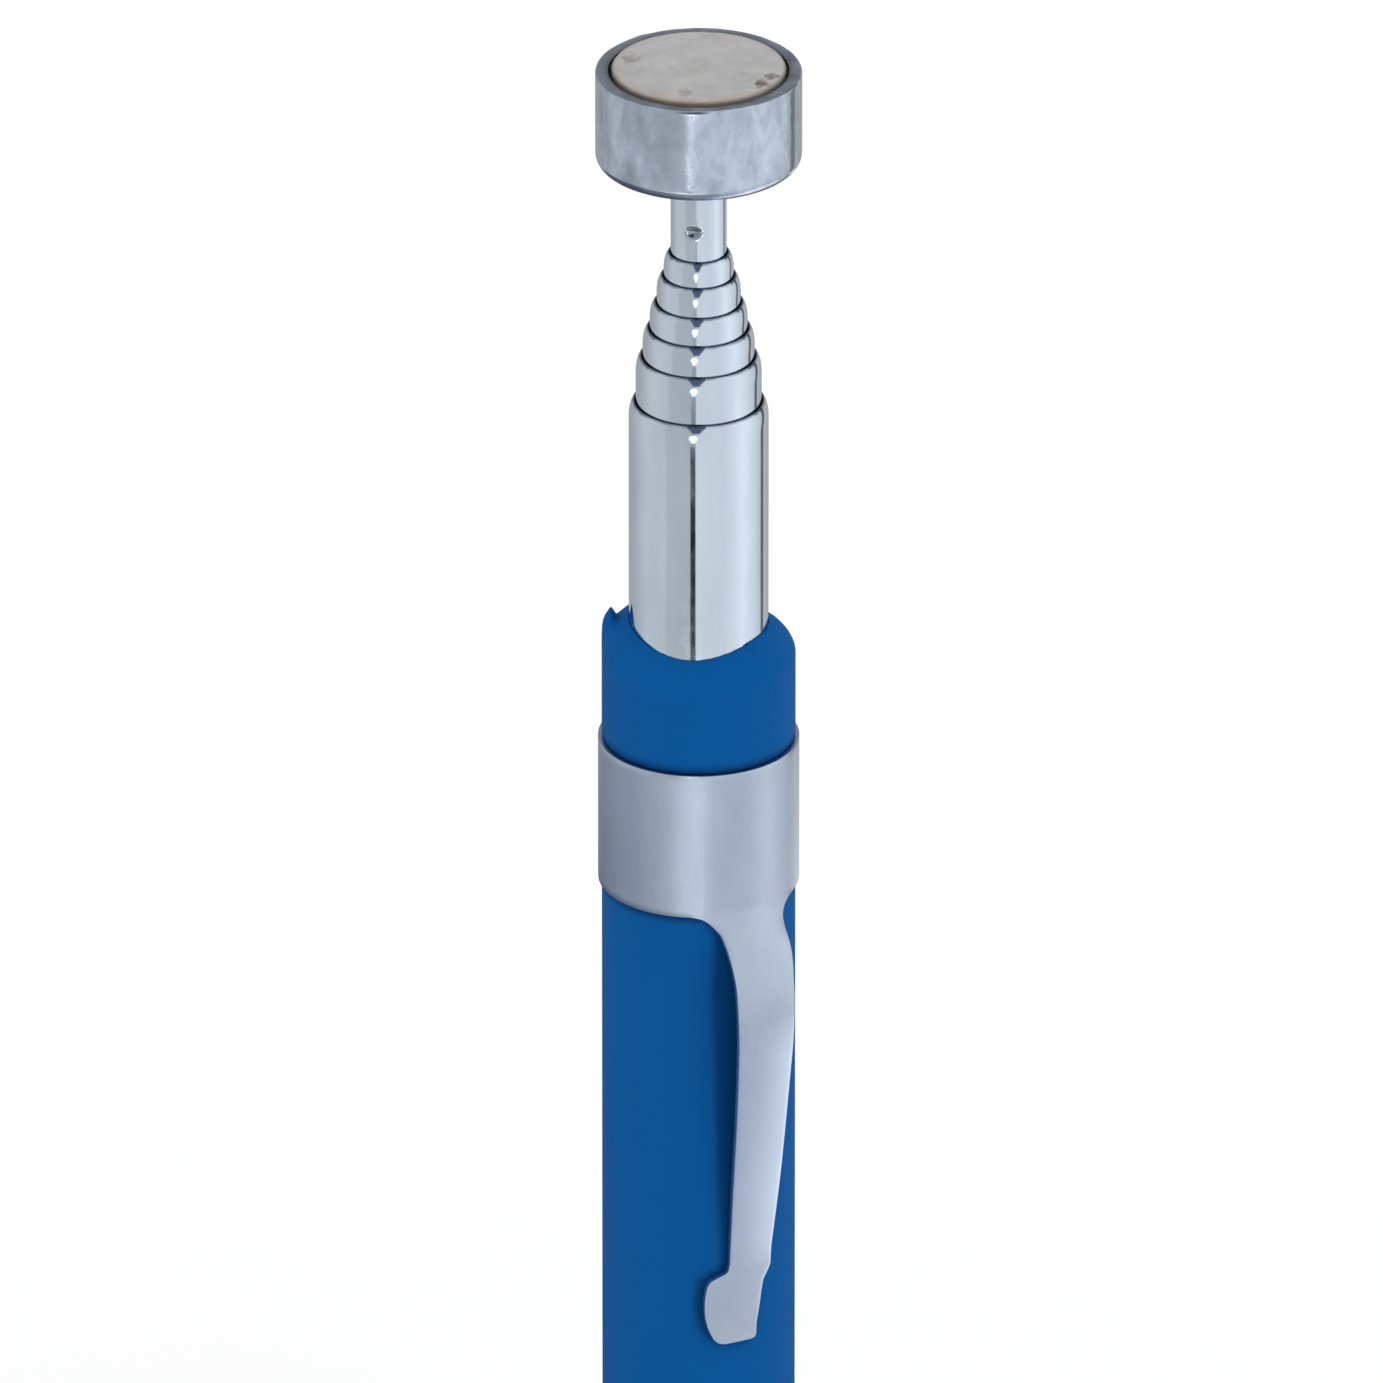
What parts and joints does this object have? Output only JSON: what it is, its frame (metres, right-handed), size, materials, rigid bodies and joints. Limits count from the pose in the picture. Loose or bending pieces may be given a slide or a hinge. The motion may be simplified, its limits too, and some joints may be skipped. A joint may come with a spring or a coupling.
{
  "type": "magnetic pickup tool",
  "caption": "Telescopic magnetic pickup tool: a round magnet in a steel cup on nested sliding tubes, a closed vinyl grip and a spring pocket clip.",
  "frame": {"origin": "middle of the grip's flat closed end, on the axis of the tubes", "axes": "+Z along the tool from the grip to the magnet's face, -Y towards the middle of the pocket clip's arm, +X completes a right-handed frame"},
  "size_m": [0.0148, 0.0173, 0.135],
  "materials": {
    "grip_vinyl": "satin blue dipped vinyl",
    "tube_plating": "bright plating on drawn tube",
    "cup_plating": "satin plating, lightly mottled",
    "magnet_plating": "dull, lightly worn",
    "clip_steel": "satin",
    "spring_bronze": "satin",
    "plug_steel": "turned",
    "epoxy": "dark matt resin"
  },
  "bodies": {
    "handle": {"grip_sleeve": "grip_vinyl", "barrel_tube": "tube_plating", "barrel_plug": "plug_steel", "clip_band": "clip_steel"},
    "clip": {"clip_arm": "clip_steel"},
    "spring_1": {"section_1_spring": "spring_bronze"},
    "section_1": {"section_1_tube": "tube_plating", "section_1_plug": "plug_steel"},
    "spring_2": {"section_2_spring": "spring_bronze"},
    "section_2": {"section_2_tube": "tube_plating", "section_2_plug": "plug_steel"},
    "spring_3": {"section_3_spring": "spring_bronze"},
    "section_3": {"section_3_tube": "tube_plating", "section_3_plug": "plug_steel"},
    "spring_4": {"section_4_spring": "spring_bronze"},
    "section_4": {"section_4_tube": "tube_plating", "section_4_plug": "plug_steel"},
    "spring_5": {"section_5_spring": "spring_bronze"},
    "section_5": {"section_5_tube": "tube_plating", "section_5_plug": "plug_steel"},
    "spring_6": {"section_6_spring": "spring_bronze"},
    "section_6": {"section_6_tube": "tube_plating", "head_stud": "plug_steel", "magnet_cup": "cup_plating", "magnet_disc": "magnet_plating", "magnet_glue_ring": "epoxy"}
  },
  "joints": [
    {"name": "clip_flex", "type": "hinge", "parent": "handle", "child": "clip", "pos_m": [0, -0.0072, 0.0711], "axis": [-1, 0, 0], "range_deg": [0, 6], "stiffness_Nm_per_rad": 2, "springref_deg": -1.72},
    {"name": "slide_1", "type": "slide", "parent": "handle", "child": "spring_1", "axis": [0, 0, 1], "range_m": [0, 0.086]},
    {"name": "spin_1", "type": "hinge", "parent": "spring_1", "child": "section_1", "pos_m": [0, 0, 0.013], "axis": [0, 0, 1], "continuous": true},
    {"name": "slide_2", "type": "slide", "parent": "section_1", "child": "spring_2", "axis": [0, 0, 1], "range_m": [0, 0.086]},
    {"name": "spin_2", "type": "hinge", "parent": "spring_2", "child": "section_2", "pos_m": [0, 0, 0.015], "axis": [0, 0, 1], "continuous": true},
    {"name": "slide_3", "type": "slide", "parent": "section_2", "child": "spring_3", "axis": [0, 0, 1], "range_m": [0, 0.086]},
    {"name": "spin_3", "type": "hinge", "parent": "spring_3", "child": "section_3", "pos_m": [0, 0, 0.017], "axis": [0, 0, 1], "continuous": true},
    {"name": "slide_4", "type": "slide", "parent": "section_3", "child": "spring_4", "axis": [0, 0, 1], "range_m": [0, 0.086]},
    {"name": "spin_4", "type": "hinge", "parent": "spring_4", "child": "section_4", "pos_m": [0, 0, 0.019], "axis": [0, 0, 1], "continuous": true},
    {"name": "slide_5", "type": "slide", "parent": "section_4", "child": "spring_5", "axis": [0, 0, 1], "range_m": [0, 0.086]},
    {"name": "spin_5", "type": "hinge", "parent": "spring_5", "child": "section_5", "pos_m": [0, 0, 0.021], "axis": [0, 0, 1], "continuous": true},
    {"name": "slide_6", "type": "slide", "parent": "section_5", "child": "spring_6", "axis": [0, 0, 1], "range_m": [0, 0.086]},
    {"name": "spin_6", "type": "hinge", "parent": "spring_6", "child": "section_6", "pos_m": [0, 0, 0.023], "axis": [0, 0, 1], "continuous": true}
  ]
}
